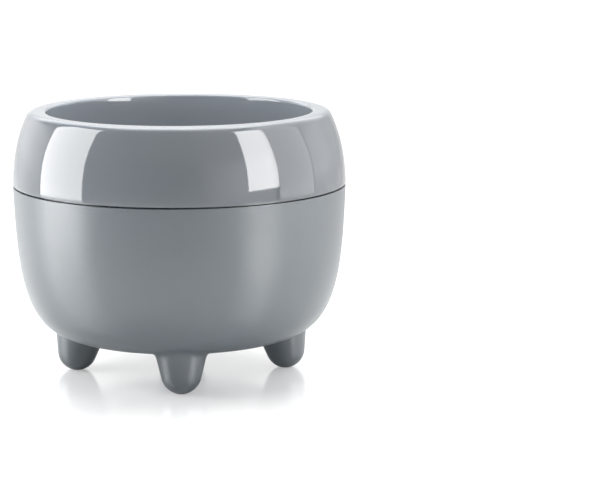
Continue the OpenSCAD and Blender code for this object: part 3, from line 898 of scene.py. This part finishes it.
# %% World
world = bpy.data.worlds.new("studio")
bpy.context.scene.world = world
world.use_nodes = True
nodes, links = world.node_tree.nodes, world.node_tree.links
coords = nodes.new("ShaderNodeTexCoord")
split = nodes.new("ShaderNodeSeparateXYZ")
links.new(coords.outputs["Generated"], split.inputs["Vector"])


def world_math(operation, *values):
    node = nodes.new("ShaderNodeMath")
    node.operation = operation
    for socket, value in zip(node.inputs, values):
        if isinstance(value, (int, float)):
            socket.default_value = value
        else:
            links.new(value, socket)
    return node.outputs[0]


def world_mix(share, a):
    """Mixes two colours of the world. The second one is set by the caller."""
    node = nodes.new("ShaderNodeMix")
    node.data_type = "RGBA"
    links.new(share, node.inputs["Factor"])
    links.new(a, node.inputs["A"])
    return node


def round_the_room(stops):
    """A brightness that changes with the bearing: 0 is the front, 90 the right and -90 the left."""
    ramp = nodes.new("ShaderNodeValToRGB")
    links.new(bearing, ramp.inputs["Fac"])
    elements = ramp.color_ramp.elements
    for degrees, value in stops[1:-1]:
        elements.new(degrees / 360 + 0.5).color = (value, value, value, 1)
    for element, value in ((elements[0], stops[0][1]), (elements[-1], stops[-1][1])):
        element.color = (value, value, value, 1)
    return ramp.outputs["Color"]


away = world_math("MULTIPLY", split.outputs["Y"], -1.0)
angle = world_math("ARCTAN2", split.outputs["X"], away)
bearing = world_math("ADD", world_math("DIVIDE", angle, 2 * math.pi), 0.5)
WALL_STOPS = [(-180, 1.0), (-170, 1.1), (-160, 1.1), (-136, 2.2), (-112, 2.1), (-106, 0.0),
              (-4, 0.0), (12, 0.4), (26, 1.4), (44, 2.3), (68, 2.3), (69, 0.0), (104, 0.0),
              (104.6, 3.0), (120, 2.4), (134, 1.4), (150, 0.8), (170, 0.9), (180, 1.0)]
UPPER_STOPS = [(-180, 2.5), (-150, 2.2), (-135, 0.0), (-40, 0.0), (0, 0.4), (30, 1.0), (54, 1.2),
               (68, 1.2), (69, 0.0), (104, 0.0), (104.6, 2.0), (135, 1.7), (180, 2.5)]
WALL_TOP, UPPER_FOOT = 14, 24
height = nodes.new("ShaderNodeMapRange")
height.inputs["From Min"].default_value = math.sin(math.radians(WALL_TOP))
height.inputs["From Max"].default_value = math.sin(math.radians(UPPER_FOOT))
links.new(split.outputs["Z"], height.inputs["Value"])
room = world_mix(height.outputs["Result"], round_the_room(WALL_STOPS))
links.new(round_the_room(UPPER_STOPS), room.inputs["B"])
path = nodes.new("ShaderNodeLightPath")
seen = world_mix(path.outputs["Is Camera Ray"], room.outputs["Result"])
seen.inputs["B"].default_value = (1, 1, 1, 1)
links.new(seen.outputs["Result"], nodes["Background"].inputs["Color"])
print("nodes in the world:", len(nodes))

# %% [markdown]
# ## Lamps
# Two upright soft boxes draw the two bars on the band. The left one lights the matt pot as well, and its
# bar still has to be brighter than that light is. So a second lamp, the glare, stands 2 cm behind it:
# in one plane the two would hide each other. The lamps at the right serve the gloss, as if a flag kept
# most of their light off the matt pot. A broad lamp hangs high up behind the planter and is tilted to
# the front. It lights the rim and the table. One helper makes them all, and a lamp is given by bearing,
# distance, width, lower edge, upper edge and brightness.

# %% Soft boxes


def soft_box(name, degrees, distance, width, low, high, radiance):
    """A rectangular lamp that stands upright at a bearing and faces the planter."""
    data = bpy.data.lights.new(name, "AREA")
    data.shape = "RECTANGLE"
    data.size = width
    data.size_y = high - low
    data.energy = radiance * width * (high - low) * math.pi
    lamp = bpy.data.objects.new(name, data)
    bpy.context.collection.objects.link(lamp)
    a = math.radians(degrees)
    lamp.location = (distance * math.sin(a), -distance * math.cos(a), (low + high) / 2)
    lamp.rotation_euler = (math.radians(90), 0, a)
    return lamp


LAMPS = [("left_soft_box", -85.3, 1.0, 0.70, -0.03, 1.1, 4.7),
         ("left_glare", -85.3, 1.02, 0.714, -0.03, 1.12, 5.8),
         ("right_soft_box", 57.0, 1.2, 0.49, 0.12, 1.2, 12.6),
         ("right_wall", 84.9, 1.3, 0.74, -0.1, 2.2, 3.5),
         ("overhead_soft_box", 180.0, 0.3, 1.1, 0.75, 1.75, 4.0)]
OVERHEAD_TILT = math.radians(-12)
lamps = {row[0]: soft_box(*row) for row in LAMPS}
lamps["overhead_soft_box"].rotation_euler = (OVERHEAD_TILT, 0, 0)
for name in ("left_glare", "right_soft_box", "right_wall"):
    lamps[name].visible_diffuse = False
print("soft boxes:", len(lamps))

# %% [markdown]
# The inside of the pot lies in its own shade. A small lamp over the mouth opens it up, and it doesn't
# show in the gloss. It hangs 15 cm above the rim. From much higher little of its light would get in, and
# from much lower it would be inside the pot when that is lifted out. The camera sees none of the lamps.

# %% Lamp over the mouth
MOUTH_TILT = math.radians(12)
mouth_lamp = soft_box("mouth_lamp", 0.0, 0.0, 0.12, 0.25, 0.37, 8.6)
mouth_lamp.rotation_euler = (0, MOUTH_TILT, 0)
mouth_lamp.visible_glossy = False
for lamp in [*lamps.values(), mouth_lamp]:
    lamp.visible_camera = False
print("the mouth lamp hangs", round((mouth_lamp.location.z - RIM_H) / MM), "mm above the rim")
